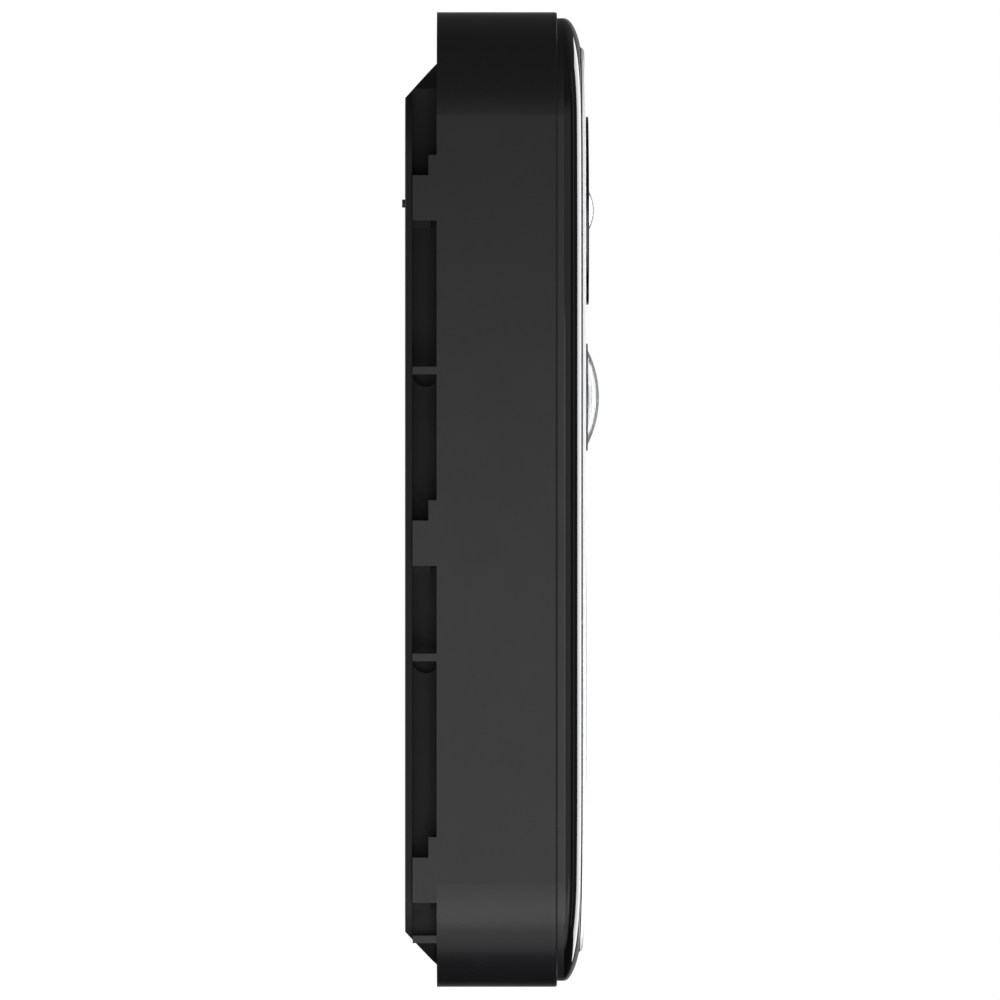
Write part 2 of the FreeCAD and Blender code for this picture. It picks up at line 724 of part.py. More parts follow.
def front_frame():
    body = piece("front_frame")
    add(body, [rectangle("fit_width", "fit_height", "fit_radius")], "web_back", "sleeve_front")
    add(body, [rectangle("band_width", "band_height", "band_radius"),
               rectangle("lip_width", "lip_height", "lip_radius")], "sleeve_front", "bezel_back")
    add(body, [rectangle("fit_width", "fit_height", "fit_radius"),
               rectangle("fit_width - 2 * skirt_wall", "fit_height - 2 * skirt_wall", "fit_radius - skirt_wall")],
        "skirt_back", "web_back")
    for x, z in BOSSES:
        add(body, [circle("boss_radius")], "cover_front", "web_back", x, z)
        cut(body, [circle("pilot_radius")], "cover_front", "cover_front + pilot_depth", x, z)
    for spots, level in ((POSTS, "board_front"), (CAMERA_POSTS, "camera_board_front")):
        for x, z in spots:
            add(body, [circle("post_radius")], level, "web_back", x, z)
            cut(body, [circle("post_pilot_radius")], level, f"{level} + post_pilot_depth", x, z)
    cut(body, [circle("camera_opening")], "web_back", "sleeve_front", "0", "camera_height")
    cut(body, [circle("sensor_radius + sensor_gap")], "web_back", "sleeve_front", "0", "motion_height")
    cut(body, [rectangle("switch_width + 2 * switch_clearance", "switch_width + 2 * switch_clearance",
                         "switch_corner")], "web_back", "sleeve_front", "0", "button_height")
    for x, z in around(RING_LEDS, "ring_led_circle", "button_height"):
        cut(body, [circle("ring_led_hole")], "web_back", "sleeve_front", x, z)


def front_seal():
    body = piece("front_seal")
    add(body, [rectangle("lip_width - 2 * fit_gap", "lip_height - 2 * fit_gap", "lip_radius - fit_gap"),
               rectangle("lip_width - 2 * fit_gap - 2 * seal_width", "lip_height - 2 * fit_gap - 2 * seal_width",
                         "lip_radius - fit_gap - seal_width")], "sleeve_front", "bezel_back")


def front_bezel():
    body = piece("front_bezel")
    add(body, [rectangle("band_width", "band_height", "band_radius")], "bezel_back", "bezel_front")
    round_edges(body, ["bezel_front"], "shoulder_radius")
    cut(body, [rectangle("seat_width", "seat_height", "seat_radius")], "web_front", "bezel_front")
    cut(body, [circle("disc_radius - disc_ledge")], "bezel_back", "web_front", "0", "camera_height")
    cut(body, [circle("dome_radius - dome_ledge")], "bezel_back", "web_front", "0", "motion_height")
    cut(body, [circle("stem_radius + stem_gap")], "bezel_back", "web_front", "0", "button_height")
    cut(body, [circle("spring_outside + groove_gap"), circle("spring_inside - groove_gap")],
        "web_front - spring_sink", "web_front", "0", "button_height")
    for x, z in around(RING_LEDS, "ring_led_circle", "button_height"):
        cut(body, [circle("ring_led_hole")], "bezel_back", "web_front", x, z)


def faceplate():
    body = piece("faceplate")
    add(body, [rectangle("seat_width - 2 * fit_gap", "seat_height - 2 * fit_gap", "seat_radius - fit_gap")],
        "web_front", "face_front")
    cut(body, [circle("disc_radius + fit_gap")], "web_front", "face_front", "0", "camera_height")
    cut(body, [circle("ring_outside + fit_gap")], "web_front", "face_front", "0", "motion_height")
    cut(body, [circle("light_radius + fit_gap")], "web_front", "face_front", "0", "button_height")


# Camera ---------------------------------------------------------------------------------------------------

def camera():
    window = piece("camera_window")
    add(window, [circle("disc_radius"), circle("lens_radius + lens_gap")], "web_front", "disc_front",
        "0", "camera_height")
    lens = piece("camera_lens")
    domed(lens, "lens_radius", "lens_rise", "lens_back", "disc_front", "camera_height")
    barrel = piece("camera_barrel")
    add(barrel, [circle("barrel_radius - barrel_step")], "camera_board_front + barrel_lift",
        "camera_board_front + holder_depth", "0", "camera_height")
    add(barrel, [circle("barrel_radius")], "camera_board_front + holder_depth", "lens_back - nose_depth",
        "0", "camera_height")
    add(barrel, [circle("lens_radius + nose_wall")], "lens_back - nose_depth", "lens_back", "0", "camera_height")
    holder = piece("camera_holder")
    add(holder, [rectangle("holder_width", "holder_width", "board_corner"), circle("barrel_radius - barrel_step")],
        "camera_board_front", "camera_board_front + holder_depth", "0", "camera_height")
    block("image_sensor", "image_width", "image_height", "camera_board_front", "camera_board_front + image_depth",
          "0", "camera_height")
    board = piece("camera_board")
    add(board, [rectangle("camera_board_width", "camera_board_height", "board_corner")], "camera_board_place",
        "camera_board_front", "0", "camera_height")
    for x, z in CAMERA_POSTS:
        cut(board, [circle("board_hole_radius")], "camera_board_place", "camera_board_front", x, z)
    screws("camera_screws", CAMERA_POSTS, "camera_board_place - board_head_depth", "board_head_depth",
           "camera_board_depth + board_bite", "board_head_radius", "board_shank_radius", "board_socket_radius")
    night_board = piece("infrared_board")
    add(night_board, [circle("lamp_board_radius"), circle("shroud_radius + shroud_gap")], "sleeve_front",
        "sleeve_front + lamp_board_depth", "0", "camera_height")
    lamps = piece("infrared_leds")
    for x, z in around(NIGHT_LEDS, "night_led_circle", "camera_height"):
        add(lamps, [circle("night_led_radius")], "sleeve_front + lamp_board_depth", "lens_back", x, z)
    shroud = piece("camera_shroud")
    add(shroud, [circle("shroud_radius"), circle("barrel_radius + shroud_gap")], "web_back", "web_front",
        "0", "camera_height")
    ribbon = piece("camera_ribbon")
    add(ribbon, [rectangle("ribbon_width", "ribbon_top - ribbon_bottom")], "ribbon_back", "camera_board_place",
        "0", "(ribbon_top + ribbon_bottom) / 2")
    add(ribbon, [rectangle("ribbon_width", "ribbon_depth")], "ribbon_back", "board_place",
        "0", "ribbon_bottom + ribbon_depth / 2")


# Motion sensor --------------------------------------------------------------------------------------------

def motion_unit():
    ring = piece("motion_ring")
    add(ring, [circle("ring_outside"), circle("ring_inside")], "web_front", "face_front + ring_rise",
        "0", "motion_height")
    lens = piece("motion_lens")
    domed(lens, "dome_radius", "dome_rise", "web_front", "face_front", "motion_height")
    cut(lens, [circle("dome_radius - dome_wall")], "web_front", "face_front - dome_skin", "0", "motion_height")
    sensor = piece("motion_sensor")
    add(sensor, [circle("sensor_radius")], "board_front", "board_front + sensor_depth", "0", "motion_height")
    cut(sensor, [rectangle("sensor_window_width", "sensor_window_height")],
        "board_front + sensor_depth - sensor_window_sink", "board_front + sensor_depth", "0", "motion_height")


# Button ---------------------------------------------------------------------------------------------------

def button():
    ring = piece("light_ring")
    add(ring, [circle("light_radius"), circle("button_radius + button_gap")], "web_front", "face_front",
        "0", "button_height")
    cut(ring, [circle("flange_radius + button_gap")], "web_front", "cap_back + flange_depth + rest_gap",
        "0", "button_height")
    cap = piece("button_cap")
    add(cap, [circle("button_radius")], "cap_back", "cap_front", "0", "button_height")
    add(cap, [circle("flange_radius")], "cap_back", "cap_back + flange_depth", "0", "button_height")
    add(cap, [circle("stem_radius")], "switch_front + switch_plunger_stand", "cap_back", "0", "button_height")
    plunger = piece("switch_plunger")
    add(plunger, [circle("switch_plunger_radius")], "switch_front - button_travel - switch_plunger_seat",
        "switch_front + switch_plunger_stand", "0", "button_height")
    switch = piece("button_switch")
    add(switch, [rectangle("switch_width", "switch_width", "switch_corner")], "board_front", "switch_front",
        "0", "button_height")
    cut(switch, [circle("switch_plunger_radius + switch_plunger_gap")],
        "switch_front - 2 * (button_travel + switch_plunger_seat)", "switch_front", "0", "button_height")
    spring = piece("button_spring")
    add(spring, [circle("spring_outside"), circle("spring_inside")], "web_front - spring_sink", "cap_back",
        "0", "button_height")
    seal = piece("button_seal")
    add(seal, [circle("stem_radius + button_seal_gap + button_seal_width"), circle("stem_radius + button_seal_gap")],
        "sleeve_front + button_seal_lift", "bezel_back", "0", "button_height")
    board = piece("ring_board")
    add(board, [circle("light_radius"), circle("button_radius - ring_board_lap")],
        "ring_board_front - lamp_board_depth", "ring_board_front", "0", "button_height")
    lamps = piece("ring_leds")
    for x, z in around(RING_LEDS, "ring_led_circle", "button_height"):
        add(lamps, [rectangle("ring_led_width", "ring_led_width")], "ring_board_front", "web_back", x, z)


# Electronics ----------------------------------------------------------------------------------------------

def block(label, width, height, near, far, x, z):
    body = piece(label)
    add(body, [rectangle(width, height)], near, far, x, z)
    return body


def main_electronics():
    board = piece("main_board")
    add(board, [rectangle("board_width", "board_height", "board_corner")], "board_place", "board_front",
        "0", "board_middle")
    for x, z in POSTS:
        cut(board, [circle("board_hole_radius")], "board_place", "board_front", x, z)
    screws("board_screws", POSTS, "board_place - board_head_depth", "board_head_depth", "board_depth + board_bite",
           "board_head_radius", "board_shank_radius", "board_socket_radius")
    screws("housing_screws", BOSSES, "cover_back + housing_head_sink", "housing_head_depth",
           "cover_depth + housing_bite", "housing_head_radius", "housing_shank_radius", "housing_socket_radius")
    chips = block("main_chips", "processor_width", "processor_width", "board_front",
                  "board_front + processor_depth", "processor_side", "motion_height - processor_drop")
    add(chips, [rectangle("memory_width", "memory_height")], "board_front", "board_front + memory_depth",
        "memory_side", "motion_height - memory_drop")
    add(chips, [rectangle("charger_width", "charger_width")], "board_front", "board_front + charger_depth",
        "0", "board_bottom + charger_rise")
    block("wifi_module", "wifi_width", "wifi_height", "board_place - wifi_depth", "board_place",
          "wifi_side", "motion_height - wifi_drop")
    block("wifi_antenna", "antenna_width", "antenna_depth", "ledge_front + antenna_gap", "skirt_back - antenna_gap",
          "0", "inner_height / 2 - antenna_end_gap")


def power_electronics():
    block("power_board", "board_width - 2 * power_board_inset", "power_board_height", "power_board_place",
          "power_board_front", "0", "-power_board_fall")
    block("board_connector", "connector_width", "connector_height", "power_board_front", "board_place",
          "0", "-connector_fall")
    block("power_inductor", "inductor_width", "inductor_width", "power_board_front", "board_place - inductor_gap",
          "inductor_side", "-power_board_fall")
    reserve = piece("backup_capacitor")
    add(reserve, [rectangle("capacitor_width", "capacitor_height", "capacitor_corner")],
        "cover_front + capacitor_lift", "board_place - capacitor_gap", "0", "board_bottom + capacitor_rise")
    terminals = block("terminal_block", "terminal_width", "terminal_height", "terminal_back", "power_board_place",
                      "0", "0")
    for side in SIDES:
        cut(terminals, [circle("terminal_hole_radius")], "terminal_back", "power_board_place - terminal_floor",
            f"{side} * terminal_side", "0")
    screws("terminal_screws", [(f"{side} * terminal_side", "0") for side in SIDES],
           "terminal_back - terminal_head_depth", "terminal_head_depth", "terminal_shank_length",
           "terminal_head_radius", "terminal_shank_radius", "terminal_socket_radius")


def sound_parts():
    speaker = piece("speaker")
    add(speaker, [rectangle("speaker_width", "speaker_height", "speaker_corner")], "speaker_back", "speaker_front",
        "speaker_side", "bottom_inside + speaker_rise + speaker_height / 2")
    seal = piece("speaker_seal")
    for near, far in (("speaker_back", "speaker_back + speaker_seal_width"),
                      ("speaker_front - speaker_seal_width", "speaker_front")):
        add(seal, [rectangle("speaker_width", "speaker_seal_height")], near, far, "speaker_side",
            "bottom_inside + speaker_seal_rise + speaker_seal_height / 2")
    block("microphone", "microphone_width", "microphone_height", "slot_back", "slot_back + microphone_depth",
          "microphone_side", "bottom_inside + microphone_rise + microphone_height / 2")


def tamper_unit():
    plunger = piece("tamper_plunger")
    add(plunger, [circle("plunger_radius")], "-plunger_reach", "tamper_switch_back + plunger_end",
        "plunger_side", "plunger_height")
    add(plunger, [circle("collar_radius")], "collar_back", "collar_front", "plunger_side", "plunger_height")
    spring = piece("tamper_spring")
    add(spring, [circle("tamper_spring_radius"), circle("plunger_radius + tamper_spring_gap")], "collar_front",
        "tamper_switch_back", "plunger_side", "plunger_height")
    switch = block("tamper_switch", "tamper_switch_width", "tamper_switch_width", "tamper_switch_back",
                   "camera_board_place", "plunger_side", "plunger_height")
    cut(switch, [circle("plunger_radius + tamper_hole_gap")], "tamper_switch_back",
        "tamper_switch_back + tamper_hole_depth", "plunger_side", "plunger_height")


wall_bracket()
housing_sleeve()
rear_cover()
rear_gasket()
front_frame()
front_seal()
front_bezel()
faceplate()
camera()
motion_unit()
button()
main_electronics()
power_electronics()
sound_parts()
tamper_unit()

doc.recompute()
for item in doc.Objects:
    if {"Invalid", "Error"} & set(item.State):
        raise ValueError(f"{item.Label} failed: {item.State}")
for body in pieces:
    if body.Shape.isNull() or not body.Shape.isValid():
        raise ValueError(f"{body.Label} has no valid shape")

os.makedirs("parts", exist_ok=True)
for body in pieces:
    body.Shape.exportStep(f"parts/{body.Label}.step")
print(len(pieces), "pieces written")
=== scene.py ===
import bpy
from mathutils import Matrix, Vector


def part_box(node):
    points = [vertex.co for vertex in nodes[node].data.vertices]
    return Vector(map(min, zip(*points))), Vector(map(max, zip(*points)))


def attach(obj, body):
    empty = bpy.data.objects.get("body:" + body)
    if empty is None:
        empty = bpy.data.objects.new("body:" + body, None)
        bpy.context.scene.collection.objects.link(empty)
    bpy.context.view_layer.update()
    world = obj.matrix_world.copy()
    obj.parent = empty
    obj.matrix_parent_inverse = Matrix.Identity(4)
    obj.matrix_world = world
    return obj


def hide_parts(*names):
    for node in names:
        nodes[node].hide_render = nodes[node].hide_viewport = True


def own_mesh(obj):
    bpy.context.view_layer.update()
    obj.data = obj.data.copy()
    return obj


bl_info = {
    "name": "Video Doorbell",
    "version": (1, 0, 0),
    "blender": (4, 5, 0),
    "location": "3D View > Sidebar > Doorbell",
    "description": "Finishes a wall-mounted video doorbell around its engineering model",
    "category": "Object",
}

import math

import bpy
from mathutils import Vector

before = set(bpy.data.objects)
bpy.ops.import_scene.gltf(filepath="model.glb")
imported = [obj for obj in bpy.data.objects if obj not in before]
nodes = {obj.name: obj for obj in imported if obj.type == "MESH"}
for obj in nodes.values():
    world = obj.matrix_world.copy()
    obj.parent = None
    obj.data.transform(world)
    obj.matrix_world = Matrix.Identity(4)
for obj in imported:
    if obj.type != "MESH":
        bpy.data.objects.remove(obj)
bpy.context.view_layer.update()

MM = 0.001
FRONT_TURN = (math.pi / 2, 0.0, 0.0)    # turns a primitive's +Z to the front, -Y
ROUND = 128                             # sides of a round piece
CORNER = 28                             # segments in a rounded corner
CUT_SPARE = 1.0 * MM                    # how far a cutter reaches past what it cuts
CROWN_POWER = 8                         # how late the front starts to fall back towards its ends
BEZEL_CORNER = 13.2 * MM                # corner radius of the bezel
BEZEL_LAP = 0.15 * MM                   # how far the bezel's border stops short of the front plate's edge
FACE_CORNER = 9.25 * MM                 # corner radius of the front plate
FACE_GAP = 0.12 * MM                    # gap round what stands in the front plate
CAMERA_BORE = 11.2 * MM                 # radii of the bezel's openings behind the front plate
MOTION_BORE = 5.5 * MM
STEM_BORE = 3.05 * MM
LENS_GAP = 0.05 * MM                    # gap round the camera's glass dome
COLLAR_GAP = 0.03 * MM                  # gap round the motion sensor's dome
SMALL_EDGE = 0.1 * MM                   # rounding of the motion sensor's collar
STEM_RADIUS = 2.9 * MM                  # the button's stem
FLANGE_WIDTH = 0.9 * MM                 # how far the button's flange stands out under the ring of light
FLANGE_DEPTH = 0.3 * MM
CAP_DEPTH = 0.7 * MM                    # from the flange's back to the button's face
CAP_EDGE = 0.18 * MM
GUIDE_EDGE = 0.15 * MM                  # rounding of the ring of light
GUIDE_GAP = 0.15 * MM                   # gap between the ring of light and the button
GUIDE_LEDGE = 0.45 * MM                 # how thick the ring of light is over the button's flange
HEAD_DEPTH = 1.7 * MM                   # pan head of a wire clamp
FLOOR_RADIUS = 4.0
FLOOR_DROP = 0.35                       # how far the floor lies below the doorbell's middle, in metres
CROSS_DEPTH = 1.4 * MM                  # cross recess in the head
CROSS_WIDTH = 0.5 * MM


# Places read from the engineering model -------------------------------------------------------------------

def size_of(node):
    """Give a node's width, depth and height, in metres."""
    low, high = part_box(node)
    return high - low


def middle_of(node):
    low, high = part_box(node)
    return (low + high) / 2


def front_of(node):
    """Give how far a node's front stands from the wall, in metres."""
    return -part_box(node)[0].y


def back_of(node):
    return -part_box(node)[1].y


# Modelling steps ------------------------------------------------------------------------------------------

def only(piece):
    """Select one object alone and make it the active one."""
    bpy.ops.object.select_all(action="DESELECT")
    piece.hide_set(False)
    piece.select_set(True)
    bpy.context.view_layer.objects.active = piece


def named(name):
    piece = bpy.context.active_object
    piece.name = name
    piece.data.name = name
    bpy.ops.object.transform_apply(location=True, rotation=True, scale=True)
    return piece


def edit(piece):
    only(piece)
    bpy.ops.object.mode_set(mode="EDIT")
    bpy.ops.mesh.select_mode(type="FACE")
    bpy.ops.mesh.select_all(action="SELECT")


def leave_edit():
    bpy.ops.object.mode_set(mode="OBJECT")


def rounded_plate(name, width, height, radius, depth):
    """Add a flat rounded rectangle that faces the front, and stay in edit mode with it selected."""
    bpy.ops.object.select_all(action="DESELECT")
    bpy.ops.mesh.primitive_plane_add(size=1, location=(0, -depth, 0), rotation=FRONT_TURN)
    bpy.context.active_object.scale = (width, height, 1)
    piece = named(name)
    edit(piece)
    bpy.ops.mesh.bevel(offset=radius, segments=CORNER, affect="VERTICES")
    bpy.ops.mesh.select_all(action="SELECT")
    return piece


def disc(name, radius, depth, place, sides=ROUND):
    """Add a flat disc that faces the front, and stay in edit mode with it selected."""
    bpy.ops.object.select_all(action="DESELECT")
    bpy.ops.mesh.primitive_circle_add(vertices=sides, radius=radius, fill_type="NGON",
                                      location=(place.x, -depth, place.z), rotation=FRONT_TURN)
    piece = named(name)
    edit(piece)
    return piece


def push(distance):
    """Extrude the selected face towards the front, or back where the distance is negative."""
    bpy.ops.mesh.extrude_region_move(TRANSFORM_OT_translate={"value": (0, -distance, 0)})


def shrink(thickness, rise=0.0):
    """Inset the selected face and let its new edge stand forward by rise."""
    bpy.ops.mesh.inset(thickness=thickness, depth=rise, use_even_offset=True)


def quarter_round(width, rise, steps, widest=math.pi / 2):
    """Carry the selected face forward over a quarter of an ellipse or less, and give how far it rose."""
    last_width = 0.0
    last_rise = 0.0
    for step in range(1, steps + 1):
        angle = step / steps * widest
        new_width = width * (1 - math.cos(angle))
        new_rise = rise * math.sin(angle)
        shrink(new_width - last_width, new_rise - last_rise)
        last_width = new_width
        last_rise = new_rise
    return last_rise


def close_back(piece):
    """Fill every open loop and point every face outwards."""
    bpy.ops.mesh.select_mode(type="EDGE")
    bpy.ops.mesh.select_all(action="DESELECT")
    bpy.ops.mesh.select_non_manifold()
    bpy.ops.mesh.edge_face_add()
    bpy.ops.mesh.select_all(action="SELECT")
    bpy.ops.mesh.normals_make_consistent(inside=False)
    leave_edit()
    return piece


def apply_modifier(piece, kind, **settings):
    only(piece)
    bpy.ops.object.modifier_add(type=kind)
    modifier = piece.modifiers[-1]
    for name, setting in settings.items():
        setattr(modifier, name, setting)
    bpy.ops.object.modifier_apply(modifier=modifier.name)


def carve(piece, cutter):
    """Cut a finished cutter out of a piece, then remove the cutter."""
    apply_modifier(piece, "BOOLEAN", object=cutter, operation="DIFFERENCE", solver="EXACT")
    bpy.data.objects.remove(cutter)


def bore(piece, radius, near, far, place):
    """Cut a round hole between two depths."""
    bpy.ops.object.select_all(action="DESELECT")
    bpy.ops.mesh.primitive_cylinder_add(vertices=ROUND, radius=radius, depth=far - near,
                                        location=(place.x, -(near + far) / 2, place.z), rotation=FRONT_TURN)
    carve(piece, named("cutter"))


def soften(piece, width):
    """Round the sharp edges by a small width."""
    apply_modifier(piece, "BEVEL", width=width, segments=2, limit_method="ANGLE",
                   angle_limit=math.radians(35), use_clamp_overlap=True)


def smooth(piece, angle):
    only(piece)
    bpy.ops.object.shade_smooth_by_angle(angle=math.radians(angle))


def slice_across(piece, spacing):
    """Cut level lines across a piece, so that its front can follow a curve from top to bottom."""
    edit(piece)
    heights = [vertex.co.z for vertex in piece.data.vertices]
    bottom = min(heights)
    tall = max(heights) - bottom
    count = int(tall / spacing)
    for line in range(1, count):
        bpy.ops.mesh.select_all(action="SELECT")
        height = bottom + tall * line / count
        bpy.ops.mesh.bisect(plane_co=(0, 0, height), plane_no=(0, 0, 1))
    leave_edit()


def crown(piece, start, depth):
    """Bend the part of a piece in front of a depth back towards the object's top and bottom ends."""
    full = front_of("faceplate") - start
    half = size_of("front_bezel").z / 2
    low_depth = depth * shape().low_crown
    for vertex in piece.data.vertices:
        share = min(max((-vertex.co.y - start) / full, 0.0), 1.0)
        fall = depth if vertex.co.z > 0 else low_depth
        vertex.co.y += share * fall * (vertex.co.z / half) ** CROWN_POWER


# Materials ------------------------------------------------------------------------------------------------

def linear(hex_colour):
    """Turn an sRGB hex colour into linear red, green, blue and alpha; a colour property is linear already."""
    if not isinstance(hex_colour, str):
        return list(hex_colour)
    channels = [int(hex_colour[place:place + 2], 16) / 255 for place in (0, 2, 4)]
    return [c / 12.92 if c <= 0.04045 else ((c + 0.055) / 1.055) ** 2.4 for c in channels] + [1.0]


def add_node(tree, kind, inputs=None, **settings):
    """Add a shader node with its settings; inputs maps a socket to a value or to another node's output."""
    node = tree.nodes.new(kind)
    for name, setting in settings.items():
        setattr(node, name, setting)
    for socket, content in (inputs or {}).items():
        if isinstance(content, bpy.types.NodeSocket):
            tree.links.new(content, node.inputs[socket])
        else:
            node.inputs[socket].default_value = content
    return node


def surface(name, **constants):
    """Start a material, with its constant values set on the shader's own sockets."""
    material = bpy.data.materials.new(name)
    material.use_nodes = True
    shader = material.node_tree.nodes["Principled BSDF"]
    for socket, content in constants.items():
        shader.inputs[socket.replace("_", " ")].default_value = content
    return material, material.node_tree, shader


def grain(tree, spacing, detail=3.0, distortion=0.0):
    """A noise whose grains are spacing metres across."""
    place = add_node(tree, "ShaderNodeTexCoord").outputs["Object"]
    return add_node(tree, "ShaderNodeTexNoise", {"Vector": place, "Scale": 1 / spacing, "Detail": detail,
                                                 "Distortion": distortion}).outputs["Fac"]


def vary_colour(tree, shader, pattern, first, second, start=0.3, end=0.7):
    """Let a pattern run the base colour from one colour to another, and give the colour."""
    share = add_node(tree, "ShaderNodeMapRange", {"Value": pattern, "From Min": start, "From Max": end})
    # sockets 6 and 7 are the mix's two colours, and output 2 is its colour
    mix = add_node(tree, "ShaderNodeMix", {0: share.outputs["Result"], 6: linear(first), 7: linear(second)},
                   data_type="RGBA")
    tree.links.new(mix.outputs[2], shader.inputs["Base Color"])
    return mix.outputs[2]


def vary_roughness(tree, shader, pattern, low, high):
    """Let a pattern run the roughness from low to high."""
    rough = add_node(tree, "ShaderNodeMapRange", {"Value": pattern, "From Min": 0.3, "From Max": 0.7,
                                                  "To Min": low, "To Max": high})
    tree.links.new(rough.outputs["Result"], shader.inputs["Roughness"])


def raise_surface(tree, shader, pattern, strength, distance):
    """Let a pattern raise the surface by a distance in metres."""
    bump = add_node(tree, "ShaderNodeBump", {"Height": pattern, "Strength": strength, "Distance": distance})
    tree.links.new(bump.outputs["Normal"], shader.inputs["Normal"])


def moulded_plastic(name, colour, other, rough_low, rough_high, grain_size, bump, shine=0.5):
    """Injection-moulded plastic from a spark-eroded mould: fine even pits, a faint flow mottle, rubbed patches."""
    material, tree, shader = surface(name, IOR=1.49, Specular_IOR_Level=shine)
    vary_colour(tree, shader, grain(tree, 18 * MM, 2.0, 0.6), colour, other)
    vary_roughness(tree, shader, grain(tree, 6 * MM, 5.0, 0.3), rough_low, rough_high)
    raise_surface(tree, shader, grain(tree, grain_size, 2.0), bump, 0.02 * MM)
    return material


def polished_plastic(name, colour, other, roughness, peel=0.04):
    """Polished acrylic or ABS: a deep gloss with a trace of orange peel and hairline handling marks."""
    material, tree, shader = surface(name, IOR=1.49, Coat_Weight=0.35, Coat_Roughness=0.03)
    vary_colour(tree, shader, grain(tree, 25 * MM, 2.0), colour, other)
    vary_roughness(tree, shader, grain(tree, 3 * MM, 6.0, 1.5), roughness, roughness + 0.05)
    raise_surface(tree, shader, grain(tree, 1.6 * MM, 1.0), peel, 0.004 * MM)
    return material


def plated_metal(name, colour, roughness):
    """Plated steel: bright, with fine drawn lines that vary the gloss."""
    material, tree, shader = surface(name, Metallic=1.0)
    dark = [channel * 0.7 for channel in linear(colour)[:3]] + [1.0]
    vary_colour(tree, shader, grain(tree, 2 * MM, 4.0), colour, dark)
    vary_roughness(tree, shader, grain(tree, 0.3 * MM), roughness, roughness + 0.15)
    return material


def silicone(name, colour):
    """Moulded silicone: soft and dull, with lighter dusty patches."""
    material, tree, shader = surface(name, IOR=1.41, Sheen_Weight=0.1)
    vary_colour(tree, shader, grain(tree, 1.2 * MM, 5.0), colour, "3a3a39", 0.45, 0.8)
    vary_roughness(tree, shader, grain(tree, 0.5 * MM), 0.6, 0.8)
    raise_surface(tree, shader, grain(tree, 0.2 * MM), 0.2, 0.02 * MM)
    return material


def circuit_laminate(name):
    """Glass-epoxy board under green solder mask, with copper tracks as a lighter, slightly raised web."""
    material, tree, shader = surface(name, IOR=1.5, Coat_Weight=0.4, Coat_Roughness=0.15)
    place = add_node(tree, "ShaderNodeTexCoord").outputs["Object"]
    cells = add_node(tree, "ShaderNodeTexVoronoi",
                     {"Vector": place, "Scale": 1 / (1.8 * MM), "Randomness": 0.35},
                     feature="DISTANCE_TO_EDGE", distance="MANHATTAN")
    edges = add_node(tree, "ShaderNodeMapRange", {"Value": cells.outputs["Distance"], "From Min": 0.02,
                                                  "From Max": 0.09, "To Min": 1.0, "To Max": 0.0})
    track = edges.outputs["Result"]
    vary_colour(tree, shader, track, "0f3b25", "2a6b45", 0.0, 1.0)
    vary_roughness(tree, shader, grain(tree, 0.8 * MM), 0.25, 0.4)
    raise_surface(tree, shader, track, 0.4, 0.035 * MM)
    return material


def clear_glass(name):
    """Anti-reflection coated optical glass: clear, very slightly smoked, with faint smears."""
    material, tree, shader = surface(name, Base_Color=linear("d6dbde"), IOR=1.52, Transmission_Weight=1.0,
                                     Coat_Weight=0.2)
    vary_roughness(tree, shader, grain(tree, 1.5 * MM, 4.0, 0.8), 0.0, 0.03)
    return material


def lens_film(name, facet):
    """Milky polyethylene, thin enough to let heat through, with rows of small lens facets moulded into it."""
    material, tree, shader = surface(name, IOR=1.51, Transmission_Weight=0.8, Coat_Weight=0.3,
                                     Subsurface_Weight=0.2, Subsurface_Radius=(0.001, 0.001, 0.001))
    place = add_node(tree, "ShaderNodeTexCoord").outputs["Object"]
    cells = add_node(tree, "ShaderNodeTexVoronoi", {"Vector": place, "Scale": 1 / facet, "Randomness": 0.0},
                     feature="DISTANCE_TO_EDGE")
    groove = add_node(tree, "ShaderNodeMapRange", {"Value": cells.outputs["Distance"], "From Max": 0.12})
    vary_colour(tree, shader, grain(tree, 1.5 * MM), "b6babc", "a8adaf")
    vary_roughness(tree, shader, grain(tree, 0.6 * MM), 0.12, 0.22)
    raise_surface(tree, shader, groove.outputs["Result"], 0.35, 0.05 * MM)
    return material


def frosted_guide(name, colour):
    """Frosted polycarbonate light guide, unlit: pale and slightly deep."""
    material, tree, shader = surface(name, IOR=1.58, Transmission_Weight=0.25, Subsurface_Weight=0.4,
                                     Subsurface_Radius=(0.002, 0.002, 0.002))
    vary_colour(tree, shader, grain(tree, 2.5 * MM), colour, "bfc5c9")
    vary_roughness(tree, shader, grain(tree, 0.4 * MM), 0.3, 0.42)
    raise_surface(tree, shader, grain(tree, 0.15 * MM), 0.12, 0.02 * MM)
    return material


def printed_part(name, colour, other, roughness, grain_size):
    """Small moulded or sleeved component with a slightly uneven tone."""
    return moulded_plastic(name, colour, other, roughness, roughness + 0.15, grain_size, 0.25)


def paint(piece, material):
    piece.data.materials.clear()
    piece.data.materials.append(material)


def settle(piece, body, material, slot, *replaced):
    """Give a finished piece its material, its body and the nodes that it stands for; the slot argument is not
    used.
    """
    paint(piece, material)
    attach(piece, body)
    if replaced:
        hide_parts(*replaced)


# Settings -------------------------------------------------------------------------------------------------

def length_setting(name, description, default):
    return bpy.props.FloatProperty(name=name, description=description, default=default, min=0.0,
                                   subtype="DISTANCE", unit="LENGTH", precision=5)


def colour_setting(name, description, default):
    return bpy.props.FloatVectorProperty(name=name, description=description, subtype="COLOR", size=4,
                                         min=0.0, max=1.0, default=linear(default))


